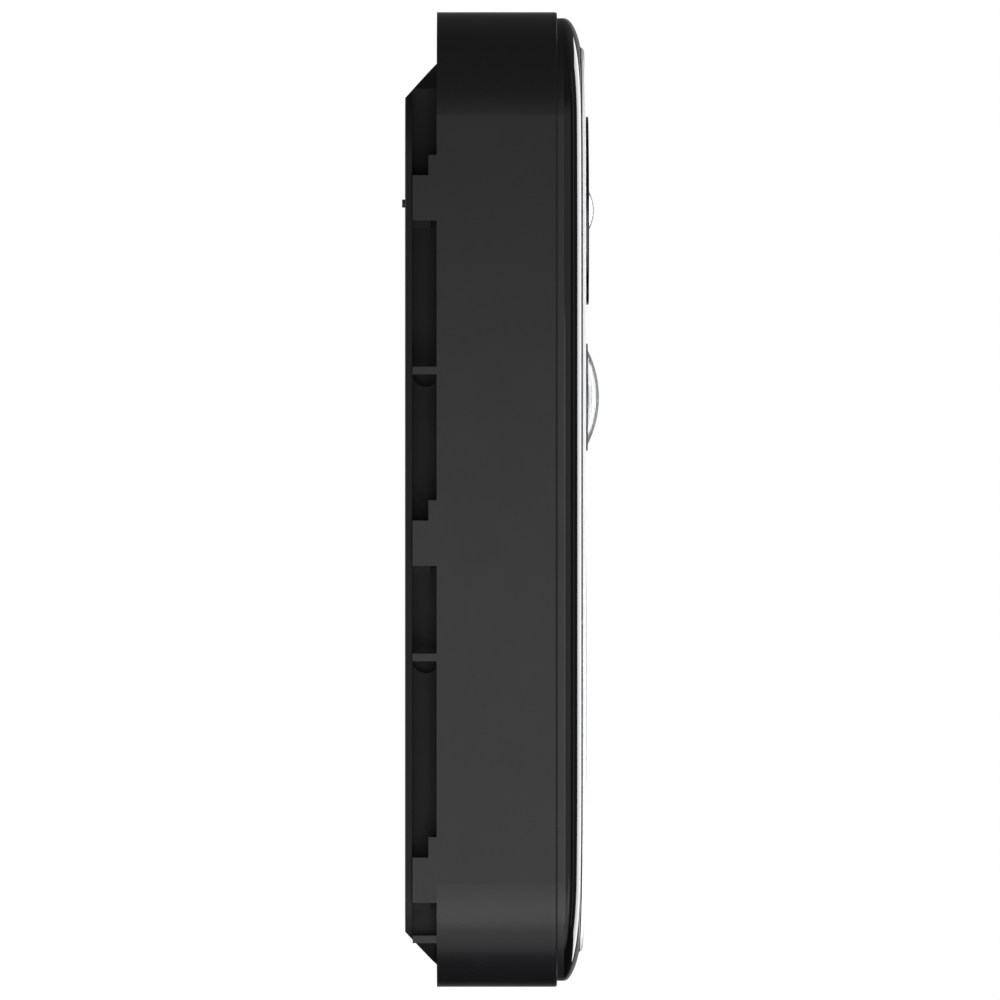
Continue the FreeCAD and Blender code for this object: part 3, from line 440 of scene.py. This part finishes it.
class DoorbellShape(bpy.types.PropertyGroup):
    """Sizes and colours of the finished pieces that the engineering model doesn't fix"""
    shoulder_width: length_setting("Shoulder width", "Width of the ellipse that rounds the bezel", 6.0 * MM)
    shoulder_rise: length_setting("Shoulder rise", "How far the bezel's ellipse stands forward", 2.6 * MM)
    lip_rise: length_setting("Lip rise", "Height of the bezel's sharp lip round the front plate", 0.09 * MM)
    crown_depth: length_setting("Crown", "How far the front falls back at its top end", 0.45 * MM)
    low_crown: bpy.props.FloatProperty(name="Lower crown", default=1.8, min=0.0, subtype="FACTOR",
                                       description="How many times further its bottom end falls back")
    face_round: length_setting("Face edge", "Rounding of the front plate's edge", 0.5 * MM)
    face_drop: length_setting("Plate drop", "How far the front plate lies behind its CAD face", 0.1 * MM)
    disc_round: length_setting("Disc edge", "Rounding of the camera disc's edge", 0.15 * MM)
    button_dish: length_setting("Button dish", "How far the button's middle is hollowed", 0.12 * MM)
    dome_wall: length_setting("Dome wall", "Thickness of the motion sensor's dome", 1.3 * MM)
    lens_wall: length_setting("Lens wall", "Thickness of the camera's glass dome", 0.7 * MM)
    facet: length_setting("Facet", "Width of one facet in the motion sensor's dome", 1.5 * MM)
    sleeve_colour: colour_setting("Sleeve", "Satin black of the sleeve", "161617")
    bracket_colour: colour_setting("Bracket", "Textured black of the wall bracket", "131314")
    bezel_colour: colour_setting("Bezel", "Glossy black of the surround", "060607")
    face_colour: colour_setting("Front plate", "White of the front plate", "f0f1f2")
    disc_colour: colour_setting("Camera disc", "Black of the camera's disc", "030304")
    button_colour: colour_setting("Button", "White of the button", "eff0f1")
    guide_colour: colour_setting("Light ring", "Frosted white of the unlit ring of light", "cfd4d7")


CLASSES = [DoorbellShape]


def operator(cls):
    """Keep an operator class in the order in which it is run."""
    CLASSES.append(cls)
    return cls


def shape():
    return bpy.context.scene.doorbell_shape


# Shells and inner parts, kept from the engineering model --------------------------------------------------

@operator
class DoorbellFinishParts(bpy.types.Operator):
    """Give every kept part of the engineering model its own finish"""
    bl_idname = "doorbell.finish_parts"
    bl_label = "Finish kept parts"

    def execute(self, context):
        sleeve = moulded_plastic("moulded ABS, sleeve", shape().sleeve_colour, "18181a", 0.27, 0.31,
                                 0.22 * MM, 0.12)
        bracket = moulded_plastic("moulded PC-ABS, bracket", shape().bracket_colour, "151516", 0.46, 0.52,
                                  0.3 * MM, 0.2, 0.22)
        inner = moulded_plastic("moulded ABS, chassis", "1d1d1e", "202021", 0.29, 0.34, 0.2 * MM, 0.12)
        cover = moulded_plastic("moulded ABS, rear cover", "1f1f20", "242425", 0.5, 0.62, 0.25 * MM, 0.2)
        rubber = silicone("moulded silicone", "17171a")
        steel = plated_metal("zinc-plated steel", "a9abad", 0.28)
        nickel = plated_metal("nickel-plated can", "c6c7c9", 0.2)
        tin = plated_metal("tinned shield", "b8babc", 0.32)
        board = circuit_laminate("green circuit laminate")
        resin = printed_part("moulded epoxy chip", "161618", "1d1d20", 0.5, 0.12 * MM)
        nylon = printed_part("moulded green nylon", "1d5a3a", "226543", 0.4, 0.2 * MM)
        film = printed_part("copper-backed polyimide", "a8652a", "b97836", 0.35, 0.4 * MM)
        switch = printed_part("moulded black nylon", "1b1c1d", "222324", 0.45, 0.2 * MM)
        acetal = printed_part("dark acetal", "2a2a2b", "303031", 0.35, 0.25 * MM)
        ferrite = printed_part("pressed ferrite", "38393c", "44464a", 0.6, 0.3 * MM)
        wrap = printed_part("blue shrink sleeve", "1f3160", "263b70", 0.3, 0.8 * MM)
        lamp = printed_part("clear yellow lamp resin", "efe9b0", "e2da98", 0.15, 0.5 * MM)
        tinted = printed_part("tinted lamp resin", "2a0f18", "36141f", 0.1, 0.5 * MM)
        anodised = printed_part("black anodised aluminium", "17181a", "1e1f22", 0.3, 0.1 * MM)
        finishes = {
            sleeve: ["housing_sleeve"], bracket: ["wall_bracket"],
            inner: ["front_frame"], cover: ["rear_cover"],
            rubber: ["rear_gasket", "front_seal", "camera_shroud", "button_seal", "speaker_seal"],
            steel: ["camera_screws", "board_screws", "housing_screws"],
            nickel: ["motion_sensor"], tin: ["wifi_module", "microphone"],
            board: ["camera_board", "infrared_board", "ring_board", "main_board", "power_board"],
            resin: ["image_sensor", "main_chips"], nylon: ["terminal_block"],
            film: ["camera_ribbon", "wifi_antenna"],
            switch: ["camera_holder", "switch_plunger", "button_switch", "board_connector", "tamper_switch",
                     "speaker"],
            acetal: ["tamper_plunger"], ferrite: ["power_inductor"], wrap: ["backup_capacitor"],
            lamp: ["ring_leds"], tinted: ["infrared_leds"], anodised: ["camera_barrel"],
        }
        for material, names in finishes.items():
            for name in names:
                paint(nodes[name], material)
        return {"FINISHED"}


# Front ----------------------------------------------------------------------------------------------------

@operator
class DoorbellBezel(bpy.types.Operator):
    """Model the glossy surround with its elliptical shoulders"""
    bl_idname = "doorbell.bezel"
    bl_label = "Bezel"

    def execute(self, context):
        whole = size_of("front_bezel")
        face = size_of("faceplate")
        start = back_of("front_bezel")
        web = back_of("faceplate")
        border = (whole.x - face.x) / 2 - BEZEL_LAP
        lip_rise = shape().lip_rise
        piece = rounded_plate("bezel_shell", whole.x, whole.z, BEZEL_CORNER, start)
        widest = math.acos(1 - border / shape().shoulder_width)
        rise = quarter_round(shape().shoulder_width, shape().shoulder_rise, 26, widest)
        # a hair-thin upright lip, its flat top, and the pocket that the front plate lies in
        shrink(0.01 * MM, lip_rise)
        shrink(0.12 * MM)
        push(-(start + rise + lip_rise - web))
        close_back(piece)
        for node, radius in (("camera_window", CAMERA_BORE), ("motion_lens", MOTION_BORE),
                             ("button_cap", STEM_BORE)):
            bore(piece, radius, start - CUT_SPARE, web + CUT_SPARE, middle_of(node))
        slice_across(piece, 4 * MM)
        crown(piece, start, shape().crown_depth)
        smooth(piece, 40)
        gloss = polished_plastic("polished black ABS", shape().bezel_colour, "09090a", 0.035)
        settle(piece, "housing", gloss, "bezel_plastic", "front_bezel")
        return {"FINISHED"}


@operator
class DoorbellFaceplate(bpy.types.Operator):
    """Model the white front plate, crowned from top to bottom, with its three openings"""
    bl_idname = "doorbell.faceplate"
    bl_label = "Front plate"

    def execute(self, context):
        whole = size_of("faceplate")
        back = back_of("faceplate")
        front = front_of("faceplate") - shape().face_drop
        edge = shape().face_round
        piece = rounded_plate("front_plate", whole.x, whole.z, FACE_CORNER, back)
        push(front - back - edge)
        quarter_round(edge * 1.3, edge, 8)
        close_back(piece)
        for node in ("camera_window", "motion_ring", "light_ring"):
            bore(piece, size_of(node).x / 2 + FACE_GAP, back - CUT_SPARE, front + CUT_SPARE, middle_of(node))
        slice_across(piece, 3 * MM)
        crown(piece, back, shape().crown_depth)
        smooth(piece, 40)
        white = polished_plastic("polished white ABS", shape().face_colour, "e9eaec", 0.06)
        settle(piece, "housing", white, "face_plastic", "faceplate")
        return {"FINISHED"}


@operator
class DoorbellCamera(bpy.types.Operator):
    """Model the camera's black disc, its glass dome and the rings seen through it"""
    bl_idname = "doorbell.camera"
    bl_label = "Camera"

    def execute(self, context):
        place = middle_of("camera_window")
        radius = size_of("camera_window").x / 2
        back = back_of("camera_window")
        front = front_of("camera_window")
        edge = shape().disc_round
        lens_radius = size_of("camera_lens").x / 2
        piece = disc("camera_disc", radius, back, place)
        push(front - back - edge)
        quarter_round(edge, edge, 5)
        # a shallow step round the lens, a nearly level ledge and the turn down to the glass
        shrink(radius - edge - lens_radius - 1.2 * MM)
        shrink(0.25 * MM, -0.12 * MM)
        shrink(0.8 * MM, -0.02 * MM)
        quarter_round(0.1 * MM, -0.1 * MM, 4)
        close_back(piece)
        bore(piece, lens_radius + LENS_GAP, back - CUT_SPARE, front + CUT_SPARE, place)
        crown(piece, back, shape().crown_depth)
        smooth(piece, 30)
        black = polished_plastic("infrared-clear black acrylic", shape().disc_colour, "050506", 0.03)
        settle(piece, "housing", black, "window_plastic", "camera_window")
        self.model_dome(place, lens_radius)
        return {"FINISHED"}

    def model_dome(self, place, radius):
        """Turn the glass dome: a short rod with a spherical cap."""
        back = back_of("camera_lens")
        front = front_of("camera_window")
        rise = front_of("camera_lens") - front
        piece = disc("camera_dome", radius, back, place, 64)
        push(front - back)
        cap_the_rod(radius, rise, 10)
        leave_edit()
        apply_modifier(piece, "SOLIDIFY", thickness=shape().lens_wall, offset=-1.0)
        smooth(piece, 40)
        settle(piece, "housing", clear_glass("coated optical glass"), "lens_glass", "camera_lens")


def cap_the_rod(radius, rise, steps):
    """Carry the selected round face forward over a spherical cap."""
    ball = (radius ** 2 + rise ** 2) / (2 * rise)
    last_reach = radius
    last_rise = 0.0
    for step in range(1, steps + 1):
        reach = radius * (1 - step / (steps + 0.4))
        new_rise = math.sqrt(ball ** 2 - reach ** 2) - (ball - rise)
        shrink(last_reach - reach, new_rise - last_rise)
        last_reach = reach
        last_rise = new_rise


@operator
class DoorbellMotionSensor(bpy.types.Operator):
    """Model the motion sensor's faceted dome and the black collar at its foot"""
    bl_idname = "doorbell.motion_sensor"
    bl_label = "Motion sensor"

    def execute(self, context):
        place = middle_of("motion_lens")
        radius = size_of("motion_lens").x / 2
        back = back_of("motion_lens")
        foot = front_of("faceplate")
        rise = front_of("motion_lens") - foot
        piece = disc("motion_dome", radius, back, place)
        push(foot - back)
        cap_the_rod(radius, rise, 22)
        leave_edit()
        apply_modifier(piece, "SOLIDIFY", thickness=shape().dome_wall, offset=-1.0)
        smooth(piece, 40)
        film = lens_film("milky polyethylene", shape().facet)
        settle(piece, "housing", film, "dome_plastic", "motion_lens")
        self.model_collar(place, radius)
        return {"FINISHED"}

    def model_collar(self, place, radius):
        outer = size_of("motion_ring").x / 2
        back = back_of("motion_ring")
        front = front_of("motion_ring")
        piece = disc("motion_collar", outer, back, place)
        push(front - back - SMALL_EDGE)
        quarter_round(SMALL_EDGE, SMALL_EDGE, 4)
        close_back(piece)
        bore(piece, radius + COLLAR_GAP, back - CUT_SPARE, front + CUT_SPARE, place)
        smooth(piece, 40)
        gloss = polished_plastic("polished black ABS, collar", "08080a", "0c0c0e", 0.05)
        settle(piece, "housing", gloss, "ring_plastic", "motion_ring")


@operator
class DoorbellButton(bpy.types.Operator):
    """Model the dished button on its stem and the frosted ring of light round it"""
    bl_idname = "doorbell.button"
    bl_label = "Button"

    def execute(self, context):
        place = middle_of("button_cap")
        back = back_of("button_cap")
        front = front_of("button_cap")
        flange_radius = size_of("button_cap").x / 2
        radius = flange_radius - FLANGE_WIDTH
        cap_back = front - CAP_DEPTH
        piece = disc("button_face", STEM_RADIUS, back, place)
        push(cap_back - back)
        bpy.ops.mesh.inset(thickness=0.0)
        widen(flange_radius / STEM_RADIUS, place)
        push(FLANGE_DEPTH)
        bpy.ops.mesh.inset(thickness=0.0)
        widen(radius / flange_radius, place)
        push(front - cap_back - FLANGE_DEPTH - CAP_EDGE)
        quarter_round(CAP_EDGE, CAP_EDGE, 5)
        self.hollow_face(radius - CAP_EDGE)
        close_back(piece)
        smooth(piece, 35)
        white = polished_plastic("polished white button ABS", shape().button_colour, "e8e9eb", 0.07)
        settle(piece, "button", white, "button_plastic", "button_cap")
        self.model_ring(radius, flange_radius)
        return {"FINISHED"}

    def hollow_face(self, reach):
        """Dish the cap's face with rings that fall away more and more gently towards its middle."""
        dish = shape().button_dish
        rings = 12
        last_fall = 0.0
        for ring in range(1, rings + 1):
            share = ring / (rings + 0.3)
            fall = dish * (1 - (1 - share) ** 2)
            shrink(reach / (rings + 0.3), last_fall - fall)
            last_fall = fall

    def model_ring(self, cap_radius, flange_radius):
        place = middle_of("light_ring")
        outer = size_of("light_ring").x / 2
        back = back_of("light_ring")
        front = front_of("light_ring")
        piece = disc("glow_ring", outer, back, place)
        push(front - back - GUIDE_EDGE)
        quarter_round(GUIDE_EDGE, GUIDE_EDGE, 4)
        close_back(piece)
        bore(piece, cap_radius + GUIDE_GAP, back - CUT_SPARE, front + CUT_SPARE, place)
        bore(piece, flange_radius + GUIDE_GAP, back - CUT_SPARE, front - GUIDE_LEDGE, place)
        smooth(piece, 35)
        crown(piece, back, shape().crown_depth)
        guide = frosted_guide("frosted polycarbonate", shape().guide_colour)
        settle(piece, "housing", guide, "light_plastic", "light_ring")


def widen(factor, place):
    """Scale the selected face about its own middle."""
    bpy.ops.transform.resize(value=(factor, 1, factor), center_override=(place.x, 0, place.z))


# Springs and screws ---------------------------------------------------------------------------------------

@operator
class DoorbellSprings(bpy.types.Operator):
    """Wind the button's and the tamper plunger's return springs"""
    bl_idname = "doorbell.springs"
    bl_label = "Springs"

    def execute(self, context):
        wire = plated_metal("drawn spring wire", "b9bbbd", 0.18)
        for node, wire_radius, turns, joint in (("button_spring", 0.22 * MM, 2.5, "button_press"),
                                                ("tamper_spring", 0.13 * MM, 4.0, "tamper_press")):
            piece = self.wind(node, wire_radius, turns)
            settle(piece, "housing", wire, "spring_steel", node)
            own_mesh(piece)
        return {"FINISHED"}

    def wind(self, node, wire_radius, turns):
        """Sweep a small circle round the spring's axis and along it."""
        place = middle_of(node)
        coil_radius = size_of(node).x / 2 - wire_radius * 1.2
        height = size_of(node).y - 2 * wire_radius
        bpy.ops.object.select_all(action="DESELECT")
        bpy.ops.mesh.primitive_circle_add(vertices=12, radius=wire_radius, location=(coil_radius, 0, 0),
                                          rotation=FRONT_TURN)
        piece = named(node.replace("_spring", "_coil"))
        apply_modifier(piece, "SCREW", axis="Z", angle=2 * math.pi * turns, screw_offset=height,
                       steps=int(40 * turns), render_steps=int(40 * turns), use_normal_calculate=True)
        piece.rotation_euler = FRONT_TURN
        piece.location = (place.x, -back_of(node) - wire_radius, place.z)
        only(piece)
        bpy.ops.object.transform_apply(location=True, rotation=True, scale=True)
        edit(piece)
        close_back(piece)
        smooth(piece, 50)
        return piece


@operator
class DoorbellTerminals(bpy.types.Operator):
    """Model the two wire clamps: pan heads with a cross recess and a shank; the square washers are not modelled"""
    bl_idname = "doorbell.terminals"
    bl_label = "Wire clamps"

    def execute(self, context):
        low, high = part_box("terminal_screws")
        head_radius = size_of("terminal_screws").z / 2
        place = Vector((low.x + head_radius, 0.0, (low.z + high.z) / 2))
        first = self.model_clamp(place, -high.y, head_radius)
        only(first)
        bpy.ops.object.duplicate(linked=False)
        second = bpy.context.active_object
        second.name = "wire_clamp_right"
        second.location.x = high.x - low.x - 2 * head_radius
        bpy.ops.object.transform_apply(location=True, rotation=True, scale=True)
        brass = plated_metal("nickel-plated brass", "c9b988", 0.22)
        settle(first, "housing", brass, "screw_steel", "terminal_screws")
        settle(second, "housing", brass, "screw_steel")
        return {"FINISHED"}

    def model_clamp(self, place, back, radius):
        """Build a pan head from its domed side, which faces the wall, with a cross recess and its shank."""
        front = front_of("terminal_screws")
        shank = radius / 2
        piece = disc("wire_clamp_left", radius * 0.72, back, place, 48)
        # the domed top, the head's side in two steps, and the shank
        push(0.12 * MM)
        widen(1.39, place)
        push(HEAD_DEPTH - 0.5 * MM)
        push(0.38 * MM)
        bpy.ops.mesh.inset(thickness=0.0)
        widen(shank / radius, place)
        push(front - back - HEAD_DEPTH)
        close_back(piece)
        for turn in (0, math.pi / 2):
            bpy.ops.object.select_all(action="DESELECT")
            bpy.ops.mesh.primitive_cube_add(size=1, location=(place.x, -back, place.z), rotation=(0, turn, 0))
            bpy.context.active_object.scale = (radius * 1.2, CROSS_DEPTH, CROSS_WIDTH)
            carve(piece, named("cutter"))
        soften(piece, 0.06 * MM)
        smooth(piece, 30)
        return piece


# Stage ----------------------------------------------------------------------------------------------------

@operator
class DoorbellStage(bpy.types.Operator):
    """Set the pale floor, the soft lights and the camera at the doorbell's side"""
    bl_idname = "doorbell.stage"
    bl_label = "Stage"

    def execute(self, context):
        self.lay_floor()
        self.hang_lights()
        self.light_room(context.scene)
        self.place_camera(context.scene)
        context.scene.view_settings.view_transform = "Standard"
        return {"FINISHED"}

    def lay_floor(self):
        bpy.ops.object.select_all(action="DESELECT")
        bpy.ops.mesh.primitive_circle_add(vertices=96, radius=FLOOR_RADIUS, fill_type="NGON",
                                          location=(0, 0, -FLOOR_DROP))
        floor = named("floor")
        material, tree, shader = surface("pale backlit floor", Roughness=0.9, Emission_Strength=0.8)
        tone = vary_colour(tree, shader, grain(tree, 0.3), "f6f6f6", "f2f2f2")
        tree.links.new(tone, shader.inputs["Emission Color"])
        paint(floor, material)
        floor.visible_glossy = False
        floor.visible_diffuse = False

    def hang_lights(self):
        """Hang the lights: place, width, height, watts, and whether glossy surfaces mirror them."""
        target = middle_of("housing_sleeve")
        for name, place, width, height, power, mirrored in (
            ("low side fill", (-0.20, -0.03, -0.16), 0.10, 0.10, 0.42, False),
            ("side card", (-0.25, -0.01, -0.11), 0.20, 0.30, 0.13, True),
            ("front fill", (-0.08, -0.9, 0.25), 1.0, 1.0, 6.0, False),
            ("front right softbox", (0.646, -0.543, 0.0), 0.34, 0.60, 2.0, True),
            ("front left strip", (-0.41, -0.80, -0.30), 0.07, 0.45, 0.12, True),
            ("front strip", (0.22, -0.87, 0.0), 0.05, 0.9, 0.07, True),
            ("rear softbox", (-0.04, 0.95, 0.3), 0.7, 0.7, 10.0, True),
        ):
            lamp = bpy.data.lights.new(name, "AREA")
            lamp.shape = "RECTANGLE"
            lamp.size = width
            lamp.size_y = height
            lamp.energy = power
            holder = bpy.data.objects.new(name, lamp)
            bpy.context.scene.collection.objects.link(holder)
            holder.location = place
            holder.rotation_euler = (target - Vector(place)).to_track_quat("-Z", "Y").to_euler()
            holder.visible_camera = False
            holder.visible_glossy = mirrored

    def light_room(self, scene):
        """Light the room by direction.

        The far wall glows, and so does the near side, less and less upwards. A faint light that grows upwards
        is everywhere. What the camera sees directly is white, and so is the far wall through glass.
        """
        room = bpy.data.worlds.new("white room")
        room.use_nodes = True
        tree = room.node_tree
        tree.nodes.clear()
        direction = add_node(tree, "ShaderNodeTexCoord").outputs["Generated"]
        parts = add_node(tree, "ShaderNodeSeparateXYZ", {"Vector": direction})
        ramps = {}
        for name, axis, first, last, low, high in (
            ("wall", "X", 0.85, 0.95, 0.0, 0.22),
            ("near", "X", -0.32, -0.02, 1.0, 0.0),
            ("glow", "Z", -0.35, 0.3, 0.72, 0.12),
            ("ambient", "Z", -0.5, 0.5, 0.01, 0.1),
            ("backdrop", "X", 0.84, 0.97, 0.1, 1.0),
        ):
            ramp = add_node(tree, "ShaderNodeMapRange", {"Value": parts.outputs[axis], "From Min": first,
                                                         "From Max": last, "To Min": low, "To Max": high})
            ramps[name] = ramp.outputs["Result"]
        rays = add_node(tree, "ShaderNodeLightPath").outputs
        strength = rays["Is Camera Ray"]
        near = add_node(tree, "ShaderNodeMath", {0: ramps["near"], 1: ramps["glow"]}, operation="MULTIPLY")
        through = add_node(tree, "ShaderNodeMath", {0: ramps["backdrop"], 1: rays["Is Transmission Ray"]},
                           operation="MULTIPLY")
        for part in (near.outputs["Value"], through.outputs["Value"], ramps["wall"], ramps["ambient"]):
            strength = add_node(tree, "ShaderNodeMath", {0: strength, 1: part},
                                operation="MAXIMUM").outputs["Value"]
        light = add_node(tree, "ShaderNodeBackground", {"Color": (1, 1, 1, 1), "Strength": strength})
        add_node(tree, "ShaderNodeOutputWorld", {"Surface": light.outputs["Background"]})
        scene.world = room

    def place_camera(self, scene):
        distance = 2.4
        view_height = 133.33 * MM
        near_side = 12.0 * MM           # how far the face that fills the view stands in front of the middle
        optics = bpy.data.cameras.new("side camera")
        optics.sensor_width = 36.0
        optics.lens = optics.sensor_width * (distance - near_side) / view_height
        optics.clip_end = 12.0
        camera = bpy.data.objects.new("side camera", optics)
        scene.collection.objects.link(camera)
        camera.location = (-distance, -12.6 * MM, -0.07 * MM)
        camera.rotation_euler = (math.pi / 2, 0, -math.pi / 2)
        scene.camera = camera


class DoorbellPanel(bpy.types.Panel):
    """List the doorbell's sizes and the steps that finish it"""
    bl_idname = "VIEW3D_PT_doorbell"
    bl_label = "Video Doorbell"
    bl_space_type = "VIEW_3D"
    bl_region_type = "UI"
    bl_category = "Doorbell"

    def draw(self, context):
        for name in DoorbellShape.__annotations__:
            self.layout.prop(context.scene.doorbell_shape, name)
        for cls in CLASSES[1:]:
            if issubclass(cls, bpy.types.Operator):
                self.layout.operator(cls.bl_idname)


CLASSES.append(DoorbellPanel)


def register():
    for cls in CLASSES:
        bpy.utils.register_class(cls)
    bpy.types.Scene.doorbell_shape = bpy.props.PointerProperty(type=DoorbellShape)


def unregister():
    del bpy.types.Scene.doorbell_shape
    for cls in reversed(CLASSES):
        bpy.utils.unregister_class(cls)


def main():
    register()
    bpy.ops.doorbell.stage()
    bpy.ops.doorbell.finish_parts()
    bpy.ops.doorbell.bezel()
    bpy.ops.doorbell.faceplate()
    bpy.ops.doorbell.camera()
    bpy.ops.doorbell.motion_sensor()
    bpy.ops.doorbell.button()
    bpy.ops.doorbell.springs()
    bpy.ops.doorbell.terminals()


if __name__ == "__main__":
    main()
